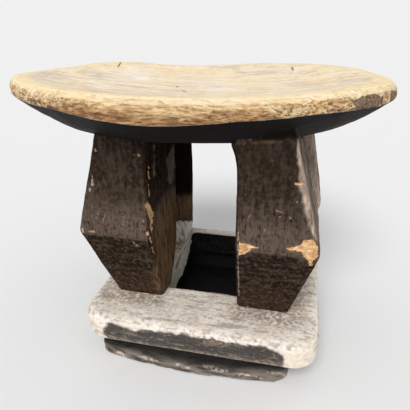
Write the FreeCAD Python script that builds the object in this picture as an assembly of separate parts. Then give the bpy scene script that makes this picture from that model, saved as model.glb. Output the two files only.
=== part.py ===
import FreeCAD, Part
import math
import os

os.makedirs("parts", exist_ok=True)

# Low stool carved from one block, cut here into its carved members.
# Millimetres, Z up, origin on the floor under the middle of the seat.
# X runs along the seat, and the photographed front faces minus Y.

# Base sizes
foot_height = 24.0
foot_length = 181.0
foot_width_ends = 160.0
foot_bow = 9.0
foot_shift_x = -5.5
foot_corner_radius = 14.0
foot_edge_bevel = 2.0
slab_height = 28.0
slab_length = 213.0
slab_width = 186.0
slab_corner_radius = 22.0
slab_top_radius = 6.0
slab_low_bevel = 3.0
base_shift_x = 21.3
base_shift_y = -10.5

# Well sunk through the slab and into the foot between the legs
well_length = 84.0
well_width = 115.0
well_shift_y = 21.5
well_slope = 6.0
well_corner_radius = 9.0
well_floor = 8.0

# Leg sizes, measured outward from the middle of the four legs
legs_shift_x = 18.3
leg_height = 158.0
knee_height = 75.0
hollow_height = 42.0
arch_width = 4.0
arch_height = 18.0
arch_lip = 1.0
leg_edge_bevel = 2.2

front_inner = 35.0
front_top_x = 80.0
front_knee_x = 103.0
front_foot_x = 83.0
front_top_y = 82.0
front_knee_y = 85.0
front_foot_y = 63.0
front_gap_top = 11.0
front_gap_knee = 20.0
front_gap_foot = 40.0

back_inner = 41.0
back_top_x = 89.0
back_knee_x = 106.0
back_foot_x = 89.0
back_top_y = 78.0
back_knee_y = 82.0
back_foot_y = 74.0
back_gap_top = 13.0
back_gap_knee = 20.0
back_gap_foot = 38.0

# Seat sizes
seat_length = 340.0
seat_width = 214.0
flare_end = 52.0
flare_side = 31.0
rim_low_side = 21.5
rim_low_end = 31.0
rim_top_side = 38.5
rim_top_end = 42.0
rim_edge_bevel = 5.0
rim_ease_bevel = 1.4
rim_width_end = 18.0
rim_width_side = 15.0
dish_depth = 9.5
dish_curve = 60.0
dish_ridge_radius = 24.0

# Bands hewn up the underside, how fast it flares, and how much of its wall a bevel may take
rise_shares = (0.0, 0.04, 0.11, 0.22, 0.37, 0.55, 0.77, 1.05, 1.5)
flare_share = 0.62
bevel_share = 0.46

# Cuts run past the solids by this much
overrun = 20.0

# Sizes and heights that the members share
seat_flat_length = seat_length - flare_end - flare_end
seat_flat_width = seat_width - flare_side - flare_side
dish_length = seat_length - rim_width_end - rim_width_end
dish_width = seat_width - rim_width_side - rim_width_side
rim_wall = min(rim_top_end - rim_low_end, rim_top_side - rim_low_side)
slab_z = foot_height
leg_z = slab_z + slab_height
knee_z = leg_z + knee_height
hollow_z = leg_z + hollow_height
seat_z = leg_z + leg_height
arch_z = seat_z - arch_lip - arch_height
arch_radius = (arch_height ** 2 + arch_width ** 2) / (arch_width + arch_width)
leg_reach = rim_low_side
reach_z = seat_z + leg_reach


def point(x, y, z):
    return FreeCAD.Vector(x, y, z)


def line(a, b):
    return Part.LineSegment(a, b).toShape()


def arc(a, b, c):
    return Part.Arc(a, b, c).toShape()


def ellipse_wire(half_length, half_width, z):
    curve = Part.Ellipse(point(0, 0, z), half_length, half_width)
    return Part.Wire([curve.toShape()])


def edges_at_height(shape, z, slack):
    found = []
    for edge in shape.Edges:
        box = edge.BoundBox
        if abs(box.ZMin - z) < slack and abs(box.ZMax - z) < slack:
            found.append(edge)
    return found


def upright_edges(shape):
    found = []
    for edge in shape.Edges:
        box = edge.BoundBox
        if box.ZLength > max(box.XLength, box.YLength):
            found.append(edge)
    return found


# Base
def rounded_block(length, width, height, radius, z):
    block = Part.makeBox(length, width, height)
    block.translate(point(-length / 2, -width / 2, z))
    return block.makeFillet(radius, upright_edges(block))


def well_cut():
    # Four walls that lean in a little on the way down to a flat floor
    wires = []
    top_z = leg_z + overrun
    for z in (well_floor, top_z):
        lean = well_slope * (leg_z - z) / leg_z
        length = well_length - lean - lean
        width = well_width - lean - lean
        block = rounded_block(length, width, overrun, well_corner_radius, z)
        bottom = edges_at_height(block, z, well_corner_radius / overrun)
        wires.append(Part.Wire(Part.__sortEdges__(bottom)))
    cut = Part.makeLoft(wires, True, True)
    cut.translate(point(legs_shift_x, base_shift_y + well_shift_y, 0))
    return cut


def make_base_slab():
    slab = rounded_block(slab_length, slab_width, slab_height, slab_corner_radius, slab_z)
    slack = slab_low_bevel / 4
    slab = slab.makeFillet(slab_top_radius, edges_at_height(slab, leg_z, slack))
    slab = slab.makeChamfer(slab_low_bevel, edges_at_height(slab, slab_z, slack))
    slab.translate(point(base_shift_x, base_shift_y, 0))
    return slab.cut(well_cut())


def make_base_foot():
    # Long sides bow outward, short sides are straight
    x = foot_length / 2
    y = foot_width_ends / 2
    front = arc(point(-x, -y, 0), point(0, -y - foot_bow, 0), point(x, -y, 0))
    right = line(point(x, -y, 0), point(x, y, 0))
    back = arc(point(x, y, 0), point(0, y + foot_bow, 0), point(-x, y, 0))
    left = line(point(-x, y, 0), point(-x, -y, 0))
    face = Part.Face(Part.Wire([front, right, back, left]))
    foot = face.extrude(point(0, 0, foot_height))
    foot = foot.makeFillet(foot_corner_radius, upright_edges(foot))
    foot = foot.makeChamfer(foot_edge_bevel, edges_at_height(foot, 0, foot_edge_bevel / 4))
    foot.translate(point(base_shift_x + foot_shift_x, base_shift_y, 0))
    return foot.cut(well_cut())


# Legs
def beyond(top, low, low_z):
    # Carries a line that rises to the leg's top on up into the seat
    return top + (top - low) * leg_reach / (seat_z - low_z)


def chain(place, spots):
    edges = []
    for a, b in zip(spots, spots[1:]):
        edges.append(line(place(*a), place(*b)))
    return edges


def arched_edges(place, inner):
    # Rises straight from the slab, then leans in smoothly under the seat
    half_turn = math.asin(arch_height / arch_radius) / 2
    start = (inner, arch_z)
    middle = (inner - arch_radius * (1 - math.cos(half_turn)), arch_z + arch_radius * math.sin(half_turn))
    end = (inner - arch_width, arch_z + arch_height)
    lean = arch_height / (arch_radius - arch_width)
    top = (end[0] - (reach_z - end[1]) * lean, reach_z)
    edges = chain(place, [(inner, leg_z), start])
    edges.append(arc(place(*start), place(*middle), place(*end)))
    return edges + chain(place, [end, top]), top


def make_leg(inner, xs, ys, gaps):
    top_x, knee_x, foot_x = xs
    top_y, knee_y, foot_y = ys
    gap_top, gap_knee, gap_foot = gaps

    def in_front_view(distance, height):
        return point(distance, -overrun, height)

    def in_side_view(distance, height):
        return point(-overrun, distance, height)

    edges, top = arched_edges(in_front_view, inner)
    outside = [(beyond(top_x, knee_x, knee_z), reach_z), (knee_x, knee_z), (foot_x, leg_z), (inner, leg_z)]
    front_face = Part.Face(Part.Wire(edges + chain(in_front_view, [top] + outside)))
    front_prism = front_face.extrude(point(0, knee_y + overrun + overrun, 0))
    inside = [(gap_foot, leg_z), (gap_knee, hollow_z), (beyond(gap_top, gap_knee, hollow_z), reach_z)]
    outside = [(beyond(top_y, knee_y, knee_z), reach_z), (knee_y, knee_z), (foot_y, leg_z), (gap_foot, leg_z)]
    side_face = Part.Face(Part.Wire(chain(in_side_view, inside + outside)))
    side_prism = side_face.extrude(point(knee_x + overrun + overrun, 0, 0))
    leg = front_prism.common(side_prism)
    return leg.makeChamfer(leg_edge_bevel, worn_edges(leg))


def worn_edges(leg):
    # Long edges between foot and seat, which the carver bevelled
    found = []
    for edge in leg.Edges:
        box = edge.BoundBox
        clear = box.ZMin < arch_z and box.ZMax > leg_z + leg_edge_bevel
        if clear and edge.Length > arch_height + leg_edge_bevel:
            found.append(edge)
    return found


def place_leg(leg, side_x, side_y, seat):
    if side_x < 0:
        leg = leg.mirror(point(0, 0, 0), point(1, 0, 0))
    if side_y < 0:
        leg = leg.mirror(point(0, 0, 0), point(0, 1, 0))
    leg.translate(point(legs_shift_x, 0, 0))
    return leg.cut(seat)


# Seat
def make_saddle_block():
    # An oval drum under a top that rises toward both ends
    oval = Part.Face(ellipse_wire(seat_length / 2, seat_width / 2, seat_z))
    drum = oval.extrude(point(0, 0, rim_top_end + overrun))
    x = seat_length / 2 + overrun
    y = seat_width / 2 + overrun
    low_z = seat_z - overrun
    side_z = seat_z + rim_top_side
    end_z = side_z + (rim_top_end - rim_top_side) * (x + x) ** 2 / seat_length ** 2
    top = arc(point(-x, -y, end_z), point(0, -y, side_z), point(x, -y, end_z))
    right = line(point(x, -y, end_z), point(x, -y, low_z))
    low = line(point(x, -y, low_z), point(-x, -y, low_z))
    left = line(point(-x, -y, low_z), point(-x, -y, end_z))
    saddle = Part.Face(Part.Wire([top, right, low, left])).extrude(point(0, y + y, 0))
    return drum.common(saddle)


def make_under_bowl():
    # Flat patch over the legs, flaring up to the rim in hewn bands
    wires = []
    for rise_share in rise_shares:
        rise = rim_low_end * rise_share
        end_flare = (rise / rim_low_end) ** flare_share
        side_flare = (rise / rim_low_side) ** flare_share
        length = seat_flat_length + (seat_length - seat_flat_length) * end_flare
        width = seat_flat_width + (seat_width - seat_flat_width) * side_flare
        wires.append(ellipse_wire(length / 2, width / 2, seat_z + rise))
    return Part.makeLoft(wires, True, True)


def make_dish():
    # A stretched ball whose lowest part scoops the dish
    side_z = seat_z + rim_top_side
    end_rise = (rim_top_end - rim_top_side) * (dish_length / seat_length) ** 2
    side_share = 1 - dish_depth / dish_curve
    end_share = 1 - (dish_depth + end_rise) / dish_curve
    half_length = dish_length / 2 / math.sqrt(1 - end_share ** 2)
    half_width = dish_width / 2 / math.sqrt(1 - side_share ** 2)
    ball = Part.makeSphere(1)
    ball.rotate(point(0, 0, 0), point(1, 0, 0), 90)
    stretch = FreeCAD.Matrix()
    stretch.scale(half_length, half_width, dish_curve)
    ball = ball.transformGeometry(stretch)
    ball.translate(point(0, 0, side_z - dish_depth + dish_curve))
    return ball


def rim_edges(shape, inset):
    # Edges that run round the top of the rim, within an inset of its wall
    inner_share = (1 - (inset + inset) / seat_width) ** 2
    side_middle = (rim_low_side + rim_top_side) / 2
    end_middle = (rim_low_end + rim_top_end) / 2
    found = []
    for edge in shape.Edges:
        spot = edge.valueAt((edge.FirstParameter + edge.LastParameter) / 2)
        along_share = (spot.x + spot.x) ** 2 / seat_length ** 2
        across_share = (spot.y + spot.y) ** 2 / seat_width ** 2
        middle_z = seat_z + side_middle + (end_middle - side_middle) * along_share
        runs_round = edge.BoundBox.YLength > rim_wall / 2
        if runs_round and spot.z > middle_z and along_share + across_share > inner_share:
            found.append(edge)
    return found


def bevel_rim(seat):
    # The upper corner is bevelled, then the bevel's own edges are eased
    edge_bevel = min(rim_edge_bevel, rim_wall * bevel_share)
    ease_bevel = min(rim_ease_bevel, edge_bevel / 2)
    seat = seat.makeChamfer(edge_bevel, rim_edges(seat, ease_bevel))
    return seat.makeChamfer(ease_bevel, rim_edges(seat, edge_bevel + ease_bevel))


def make_seat():
    seat = bevel_rim(make_saddle_block().common(make_under_bowl()))
    seat = seat.cut(make_dish())
    low_z = seat_z + rim_top_side - rim_wall / 2
    ridge = []
    for edge in seat.Edges:
        box = edge.BoundBox
        if box.ZMin > low_z and abs(box.XLength - dish_length) < rim_edge_bevel:
            ridge.append(edge)
    return seat.makeFillet(dish_ridge_radius, ridge)


def save(shape, name):
    shape.exportStep("parts/" + name + ".step")


seat = make_seat()
front_leg = make_leg(front_inner, (front_top_x, front_knee_x, front_foot_x),
                     (front_top_y, front_knee_y, front_foot_y),
                     (front_gap_top, front_gap_knee, front_gap_foot))
back_leg = make_leg(back_inner, (back_top_x, back_knee_x, back_foot_x),
                    (back_top_y, back_knee_y, back_foot_y),
                    (back_gap_top, back_gap_knee, back_gap_foot))
save(seat, "seat")
save(place_leg(front_leg, -1, -1, seat), "leg_front_left")
save(place_leg(front_leg, 1, -1, seat), "leg_front_right")
save(place_leg(back_leg, -1, 1, seat), "leg_back_left")
save(place_leg(back_leg, 1, 1, seat), "leg_back_right")
save(make_base_slab(), "base_slab")
save(make_base_foot(), "base_foot")
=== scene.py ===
import math

import bpy
import numpy as np
from mathutils import Matrix, Vector


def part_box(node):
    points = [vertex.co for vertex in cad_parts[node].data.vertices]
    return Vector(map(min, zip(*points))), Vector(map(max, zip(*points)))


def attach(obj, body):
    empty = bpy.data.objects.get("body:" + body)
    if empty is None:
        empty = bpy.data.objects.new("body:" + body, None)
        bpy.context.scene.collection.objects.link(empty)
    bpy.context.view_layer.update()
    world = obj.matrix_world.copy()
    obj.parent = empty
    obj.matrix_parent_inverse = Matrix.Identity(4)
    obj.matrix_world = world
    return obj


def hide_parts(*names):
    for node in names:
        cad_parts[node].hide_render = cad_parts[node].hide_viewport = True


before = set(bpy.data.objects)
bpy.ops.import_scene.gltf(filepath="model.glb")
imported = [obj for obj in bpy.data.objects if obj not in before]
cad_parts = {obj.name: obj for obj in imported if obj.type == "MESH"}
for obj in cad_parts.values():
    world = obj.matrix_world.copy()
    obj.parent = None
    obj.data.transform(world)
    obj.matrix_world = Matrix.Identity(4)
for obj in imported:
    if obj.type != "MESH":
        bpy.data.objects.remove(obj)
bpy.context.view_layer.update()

MM = 0.001
BODY = "root"

# Camera in millimetres and degrees, and the photograph's own frame in pixels
EYE = (96.0, -362.0, 298.3)
YAW, PITCH, ROLL = -13.4, -25.26, -0.69
FOCAL_PIXELS = 405.04
FRAME_PIXELS = 410.0


def corners(node):
    """Lowest and highest corner of a member in mm."""
    low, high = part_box(node)
    return np.array(low) / MM, np.array(high) / MM


SEAT_LOW, SEAT_HIGH = corners("seat")
SLAB_LOW, SLAB_HIGH = corners("base_slab")
SEAT_HALF = (SEAT_HIGH - SEAT_LOW) / 2

# Height of the legs' knee above the slab, and the well's middle and half size, in mm
KNEE_HEIGHT = 75.0
KNEE_Z = SLAB_HIGH[2] + KNEE_HEIGHT
WELL_MIDDLE = np.array([18.3, 11.0])
WELL_HALF = np.array([45.0, 60.0])

# Size in mm of the small even faces that each member's surface is made of
SEAT_FACES, LEG_FACES, SLAB_FACES, FOOT_FACES = 0.85, 0.9, 1.0, 1.1

# Cells after which the noise repeats
CELLS = 32


# Reading and setting meshes as arrays

def read_points(mesh):
    flat = np.empty(len(mesh.vertices) * 3, np.float32)
    mesh.vertices.foreach_get("co", flat)
    return flat.reshape(-1, 3).astype(float) / MM


def read_normals(mesh):
    flat = np.empty(len(mesh.vertices) * 3, np.float32)
    mesh.vertices.foreach_get("normal", flat)
    return flat.reshape(-1, 3).astype(float)


def read_edges(mesh):
    flat = np.empty(len(mesh.edges) * 2, np.int32)
    mesh.edges.foreach_get("vertices", flat)
    return flat.reshape(-1, 2)


def write_points(mesh, p):
    mesh.vertices.foreach_set("co", (p * MM).astype(np.float32).ravel())
    mesh.update()


def write_mask(mesh, name, values):
    layer = mesh.attributes.new(name, "FLOAT", "POINT")
    layer.data.foreach_set("value", np.clip(values, 0, 1).astype(np.float32))


def remeshed(node, face_size):
    """The member's solid as an even mesh of small faces, with its points, normals and edges."""
    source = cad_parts[node]
    copy = bpy.data.objects.new(node + "_copy", source.data.copy())
    bpy.context.collection.objects.link(copy)
    even = copy.modifiers.new("even", "REMESH")
    even.mode = "VOXEL"
    even.voxel_size = face_size * MM
    graph = bpy.context.evaluated_depsgraph_get()
    mesh = bpy.data.meshes.new_from_object(copy.evaluated_get(graph))
    bpy.data.objects.remove(copy)
    return mesh, read_points(mesh), read_normals(mesh), read_edges(mesh)


def softened(values, edges, times):
    """Values averaged with their neighbours along the mesh edges."""
    a, b = edges[:, 0], edges[:, 1]
    count = np.bincount(a, minlength=len(values)) + np.bincount(b, minlength=len(values))
    columns = values if values.ndim == 2 else values[:, None]
    for _ in range(times):
        total = np.empty_like(columns)
        for k in range(columns.shape[1]):
            total[:, k] = np.bincount(a, columns[b, k], len(values))
            total[:, k] += np.bincount(b, columns[a, k], len(values))
        columns = (columns + total / np.maximum(count, 1)[:, None]) / 2
    return columns if values.ndim == 2 else columns[:, 0]


# Noise in millimetres

def lattice(seed):
    """Random heights from -1 to 1 at the corners of the noise's cells."""
    return np.random.default_rng(seed).random((CELLS, CELLS, CELLS)).astype(np.float32) * 2 - 1


def ripple(p, size, seed):
    """Smooth random height, about -1 to 1. size is the bump size along each axis."""
    q = p / np.asarray(size, float)
    low = np.floor(q).astype(np.int64)
    f = q - low
    f = f * f * f * (f * (f * 6 - 15) + 10)
    low = low % CELLS
    high = (low + 1) % CELLS
    box = lattice(seed)
    out = np.zeros(len(p))
    for corner in range(8):
        picks = []
        w = np.ones(len(p))
        for axis in range(3):
            upper = corner >> axis & 1
            picks.append(high[:, axis] if upper else low[:, axis])
            w = w * (f[:, axis] if upper else 1 - f[:, axis])
        out += w * box[picks[0], picks[1], picks[2]]
    return out


def rough(p, size, seed, octaves=3):
    """Ripples of halving size added up, about -1 to 1."""
    size = np.broadcast_to(np.asarray(size, float), (3,))
    total = np.zeros(len(p))
    for k in range(octaves):
        total += ripple(p, size / 2 ** k, seed + k) / 2 ** k
    return total / 1.4


def cups(p, size, seed):
    """Shallow cuts side by side, as an adze leaves them: 0 in a cut, up to 1 at the ridges between."""
    q = p / np.asarray(size, float)
    base = np.floor(q).astype(np.int64)
    spots = np.random.default_rng(seed).random((CELLS, CELLS, CELLS, 3)) * 0.9
    best = np.full(len(p), 9.0)
    for step in np.ndindex(3, 3, 3):
        cell = base + (np.array(step) - 1)
        i = cell % CELLS
        spot = cell + spots[i[:, 0], i[:, 1], i[:, 2]]
        best = np.minimum(best, ((q - spot) ** 2).sum(1))
    return np.clip(best, 0, 1)


def ramp(value, low, high):
    """0 below low, 1 above high, with a soft change between."""
    t = np.clip((value - low) / (high - low), 0, 1)
    return t * t * (3 - 2 * t)


# Where a point shows in the photograph

def view_axes():
    y, p, r = (math.radians(v) for v in (YAW, PITCH, ROLL))
    ahead = Vector((math.sin(y) * math.cos(p), math.cos(y) * math.cos(p), math.sin(p)))
    flat = Vector((math.cos(y), -math.sin(y), 0))
    above = flat.cross(ahead)
    right = flat * math.cos(r) + above * math.sin(r)
    up = above * math.cos(r) - flat * math.sin(r)
    return right, up, ahead


RIGHT, UP, AHEAD = view_axes()


def pixels(p):
    """Places of points in mm as pixels of the photograph."""
    q = p - np.array(EYE)
    depth = q @ np.array(AHEAD)
    u = FRAME_PIXELS / 2 + FOCAL_PIXELS * (q @ np.array(RIGHT)) / depth
    v = FRAME_PIXELS / 2 - FOCAL_PIXELS * (q @ np.array(UP)) / depth
    return np.stack([u, v], 1)


def facing(p, n):
    """1 on surfaces turned towards the photographer."""
    back = np.array(EYE) - p
    back /= np.linalg.norm(back, axis=1)[:, None]
    return ramp((back * n).sum(1), 0.02, 0.2)


def outline_gap(uv, spots):
    """Distance in pixels from a stroke of two spots, or from a closed outline of more, minus inside it."""
    spots = np.array(spots, float)
    closed = len(spots) > 2
    inside = np.zeros(len(uv), bool)
    gap = np.full(len(uv), 1e6)
    for k in range(len(spots) if closed else 1):
        start, stop = spots[k], spots[(k + 1) % len(spots)]
        run = stop - start
        t = np.clip(((uv - start) @ run) / max(run @ run, 1e-6), 0, 1)
        gap = np.minimum(gap, np.linalg.norm(uv - start - t[:, None] * run, axis=1))
        if closed:
            crosses = (start[1] > uv[:, 1]) != (stop[1] > uv[:, 1])
            slope = run[0] / (run[1] if run[1] else 1e-9)
            inside ^= crosses & (uv[:, 0] < start[0] + (uv[:, 1] - start[1]) * slope)
    return np.where(inside, -gap, gap)


# Pixels around a mark that its ragged border can reach, and half the width of its soft border
MARK_REACH = 7
MARK_SOFT = 0.45


def marks(p, n, shapes, seed, ragged):
    """Marks seen in the photograph. Each is a half width, 0 for a closed outline, and its spots in pixels."""
    uv = pixels(p)
    jag = (rough(p, 3.2, seed, 3) + 0.5 * rough(p, 9, seed + 5, 2)) * ragged
    best = np.zeros(len(p))
    for half, spots in shapes:
        reach = MARK_REACH + half
        low = np.min(spots, 0) - reach
        high = np.max(spots, 0) + reach
        near = np.flatnonzero(((uv > low) & (uv < high)).all(1))
        rough_share = min(1.0, 0.35 + half * 0.5 if half else 1.0)
        gap = outline_gap(uv[near], spots) - half + jag[near] * rough_share
        best[near] = np.maximum(best[near], 1 - ramp(gap, -MARK_SOFT, MARK_SOFT))
    return best * facing(p, n)


def edges_and_hollows(p, n, links, reach, depth):
    """How far each point stands out of, or lies below, its surroundings: two masks."""
    stand = ((p - softened(p, links, reach)) * n).sum(1)
    return np.clip(stand / depth, 0, 1), np.clip(-stand / depth, 0, 1)


# Members

def dressed(name, mesh, node, material):
    mesh.name = name
    mesh.materials.clear()
    mesh.materials.append(material)
    mesh.polygons.foreach_set("use_smooth", [True] * len(mesh.polygons))
    piece = bpy.data.objects.new(name, mesh)
    bpy.context.collection.objects.link(piece)
    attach(piece, BODY)
    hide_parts(node)
    return piece


# Seat: how far the photographed rim lies above the solid's, as pixel column and pixels
REAR_RIM_LIFT = [
    (8, -1.0), (20, -1.8), (40, -3.1), (60, -2.2), (80, -0.6), (100, 1.8), (120, 2.3), (140, 1.3),
    (160, -0.9), (200, -1.5), (230, -0.6), (260, 1.4), (300, 3.1), (320, 3.8), (340, 3.4), (350, 2.3),
    (360, 0.9), (372, -0.8), (395, -2.0),
]
FRONT_ARRIS_LIFT = [
    (8, 0.0), (30, 0.6), (50, 1.8), (70, 0.4), (90, -1.1), (110, -1.8), (130, -2.8), (150, -3.1),
    (190, -1.2), (230, 1.2), (270, 2.0), (310, 2.3), (350, 0.2), (380, -2.6), (398, -2.0),
]

# Seat: heights in mm of the rim's lower and upper edge above the seat's lowest point,
# each as the height at the middle of a side and what it gains toward an end
LOWER_RIM, LOWER_RIM_GAIN = 21.5, 9.5
UPPER_RIM, UPPER_RIM_GAIN = 38.5, 3.5

# Seat: how far in mm the two ends droop and the right rear of the rim swells out
LEFT_DROOP, RIGHT_DROOP = 4.0, 2.5
REAR_SWELL = 3.6

# Seat: the nick across the rear rim, as its place and half width along the seat in mm
NICK_X, NICK_HALF = -99, 1.6

# Seat: marks as pixels of the photograph
SEAT_DARK = [
    (0, [(352, 102), (362, 96), (376, 94), (383, 97), (383, 103), (372, 108), (356, 110)]),
    (0, [(391, 91), (397, 90), (398, 97), (394, 102), (390, 103)]),
    (0.35, [(313, 104), (316, 109), (319, 111)]), (0.3, [(290, 108), (292, 112)]),
    (0.3, [(272, 108), (279, 112)]), (1.2, [(48, 106), (56, 110)]), (1.0, [(30, 100), (35, 103)]),
    (1.0, [(62, 98), (66, 100)]),
]
SEAT_DOTS = [
    (0.5, [(231, 95.5), (232, 95.8)]), (0.5, [(118, 67), (121, 62)]), (0.4, [(159, 101), (164, 104)]),
    (0.8, [(292, 68), (293, 70)]), (0.5, [(183, 91), (186, 92)]), (0.4, [(176, 86.5), (178, 86.8)]),
]
SEAT_WHITE = [
    (3.5, [(125, 71), (146, 77)]), (3.0, [(92, 83), (106, 88)]), (3.5, [(196, 96), (246, 100)]),
    (2.2, [(172, 92), (188, 94)]), (2.5, [(262, 97), (318, 93)]), (2.0, [(200, 88), (240, 91)]),
]
SEAT_GREY = [
    (4.0, [(40, 74), (62, 77)]), (2.5, [(36, 80), (70, 88)]), (2.5, [(80, 90), (118, 96)]),
    (4.0, [(82, 71), (100, 75)]), (3.0, [(342, 82), (378, 80)]), (2.0, [(350, 74), (372, 76)]),
    (2.0, [(292, 74), (316, 71)]), (2.5, [(288, 84), (320, 86)]), (2.0, [(232, 68), (244, 72)]),
]


def lift_of(uv, table):
    """Pixels of lift at the pixel column of each point."""
    columns = np.array(table, float)
    return np.interp(uv[:, 0], columns[:, 0], columns[:, 1])


def carve_rim(p, oval):
    """Sags and humps of the hand cut rim, which the eye sees against the light."""
    uv = pixels(p)
    depth = (p - np.array(EYE)) @ np.array(AHEAD)
    scale = depth / FOCAL_PIXELS / math.cos(math.radians(PITCH))
    share = p[:, 0] / SEAT_HALF[0]
    across = p[:, 1] / SEAT_HALF[1]
    low = SEAT_LOW[2] + LOWER_RIM + LOWER_RIM_GAIN * share ** 2
    high = SEAT_LOW[2] + UPPER_RIM + UPPER_RIM_GAIN * share ** 2
    height = np.clip((p[:, 2] - low) / (high - low), 0, 1)
    outer = ramp(oval, 0.55, 0.95)
    rear = ramp(across, -0.15, 0.45) * outer * (0.35 + 0.65 * height)
    lift = lift_of(uv, REAR_RIM_LIFT) * scale * rear
    room = np.maximum(SEAT_HIGH[2] - p[:, 2], 0.15)
    lift = np.where(lift > 0, room * np.tanh(lift / room), lift)
    front = ramp(-across, -0.1, 0.45) * outer * (1 - ramp(height, 0.3, 0.95))
    lift = lift + lift_of(uv, FRONT_ARRIS_LIFT) * scale * front
    lift = lift - LEFT_DROOP * ramp(-share, 0.9, 1.0) - RIGHT_DROOP * ramp(share, 0.9, 1.0)
    moved = p.copy()
    moved[:, 2] += lift
    moved[:, 1] += REAR_SWELL * np.exp(-((share - 0.62) / 0.24) ** 2) * ramp(across, 0.1, 0.6) * outer
    return moved


def shape_seat(material):
    mesh, p, n, links = remeshed("seat", SEAT_FACES)
    oval = np.hypot(p[:, 0] / SEAT_HALF[0], p[:, 1] / SEAT_HALF[1])
    turn = np.arctan2(p[:, 1] / SEAT_HALF[1], p[:, 0] / SEAT_HALF[0])
    outer = ramp(oval, 0.9, 0.94)
    under = ramp(n[:, 2], -0.12, -0.38)
    side = outer * ramp(n[:, 2], 0.9, 0.5) * (1 - under)
    top = ramp(n[:, 2], 0.6, 0.85)
    band = top * ramp(oval, 0.865, 0.9)

    # Along the rim and up it, so that rim cracks run level right round
    level = np.stack([turn * 140, oval * 60, p[:, 2]], 1)
    level[:, 2] += rough(level, (60, 40, 30), 9, 2) * 2.2
    cut = 0.5 * rough(p, (46, 46, 30), 11, 2) + 0.2
    cut = cut + top * (0.25 * rough(p, (70, 5, 9), 21, 3) + 0.35 * rough(p, (26, 15, 14), 31, 2) + 0.2)
    cut = cut + top * 0.9 * ramp(-oval, -0.9, -0.845)
    cut = cut + side * (0.4 * rough(level, (11, 9, 2.3), 41, 3) + 0.1)
    cracked = side * ramp(ripple(level, (14, 14, 2.0), 51), 0.3, 0.75)
    pitted = side * ramp(p[:, 0], 60, 110) * ramp(rough(p, 2.6, 56, 2), 0.25, 0.7)
    cut = cut + 0.8 * cracked + 0.5 * pitted
    cut = cut + under * (0.6 - 0.9 * cups(p, (26, 17, 20), 61))
    nick = np.exp(-((p[:, 0] - NICK_X) / NICK_HALF) ** 2) * ramp(p[:, 1], 58, 72) * top
    cut = cut + 0.9 * nick
    moved = carve_rim(p - n * cut[:, None], oval)
    moved[:, 2] = np.minimum(moved[:, 2], SEAT_HIGH[2])
    write_points(mesh, moved)

    n = read_normals(mesh)
    _, hollow = edges_and_hollows(moved, n, links, 20, 0.5)
    low = SEAT_LOW[2] + 19.0 + 10.0 * (p[:, 0] / SEAT_HALF[0]) ** 2
    write_mask(mesh, "hollow", hollow)
    write_mask(mesh, "side", side)
    # Downward faces, which the material makes near black: partly darker wood, partly painted shade
    write_mask(mesh, "under", under)
    write_mask(mesh, "band", band)
    write_mask(mesh, "rear", ramp(oval, 0.8, 0.98) * ramp(p[:, 1], 5, 50) * top)
    write_mask(mesh, "cracked", cracked + 0.8 * pitted)
    below_line = low - p[:, 2]
    write_mask(mesh, "low", ramp(below_line + 16 + 3 * rough(level, (40, 30, 9), 66, 2), 0, 12) * side)
    write_mask(mesh, "lip", ramp(below_line + 4.5 + 3 * rough(level, (9, 9, 6), 67, 2), 0, 4) * side)
    write_mask(mesh, "middle", 1 - ramp(np.abs(p[:, 0] + 5), 50, 118))
    write_mask(mesh, "dark", marks(moved, n, SEAT_DARK, 71, 1.3) * np.maximum(side, 0.6 * band))
    write_mask(mesh, "dots", marks(moved, n, SEAT_DOTS, 72, 0.4))
    white = softened(marks(moved, n, SEAT_WHITE, 73, 4.0), links, 12)
    grey = softened(marks(moved, n, SEAT_GREY, 74, 4.0), links, 12)
    write_mask(mesh, "white", white * top)
    write_mask(mesh, "grey", grey * top * (1 - band))
    return dressed("seat_wood", mesh, "seat", material)


# Legs: bare wood and pale scratches, as pixels of the photograph
LEG_BARE = {
    "leg_front_right": [
        (0, [(281, 249), (293, 248), (299, 245), (305, 240.5), (314, 240.5), (318, 246), (319.5, 256),
             (314, 262), (310, 268), (307, 260), (302, 254), (293, 251)]),
        (0, [(239, 243.5), (250, 245), (258, 248.3), (250, 251), (245, 254.5), (238, 256)]),
        (0.45, [(295, 183.5), (299.5, 185.5), (305, 184)]), (0.45, [(300, 185), (302, 191)]),
        (0.35, [(302.5, 203.5), (306, 205)]),
    ],
    "leg_front_left": [
        (0, [(147.5, 205), (150, 203), (153, 206), (155, 214), (156, 224), (155, 233), (153, 232),
             (152, 222), (150, 214)]),
        (0, [(147, 234), (150, 232), (152, 234), (150.5, 236.5), (148, 236)]),
        (0.4, [(151, 163), (151.5, 168)]), (0.5, [(151, 172), (152, 179)]), (0.4, [(151.5, 184), (152, 198)]),
        (0.7, [(152.5, 238), (154, 243)]), (0.7, [(155, 248), (156, 253)]),
    ],
}
LEG_PALE = {
    "leg_front_right": [
        (0.4, [(297, 202), (303, 203)]), (0.3, [(276, 211), (285, 214)]),
        (0.5, [(289, 217), (293, 222.5)]), (0.3, [(277, 215.5), (280, 217)]),
        (0.4, [(263, 230), (265.5, 232)]), (0.2, [(267.5, 231), (269, 233)]),
        (0.05, [(251, 214), (247, 221)]), (0.8, [(312.5, 224), (314, 236)]),
        (0.3, [(237.5, 233), (238.5, 300)]), (0.7, [(247, 307), (252, 309)]),
    ],
    "leg_front_left": [
        (1.0, [(91.5, 177), (92, 185)]), (0.7, [(89.5, 189), (89.5, 191)]),
        (0.6, [(94, 146), (96, 151)]), (0.5, [(137, 155), (142, 156)]), (0.6, [(89, 231), (94, 232)]),
        (0.7, [(82, 229), (83, 232)]), (0.4, [(134, 243), (139, 246)]),
        (0.05, [(100, 208), (95, 222)]), (0.05, [(107, 210), (102, 224)]),
        (0.05, [(126, 215), (124, 229)]), (0.05, [(146, 218), (144, 228)]),
    ],
}
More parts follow.
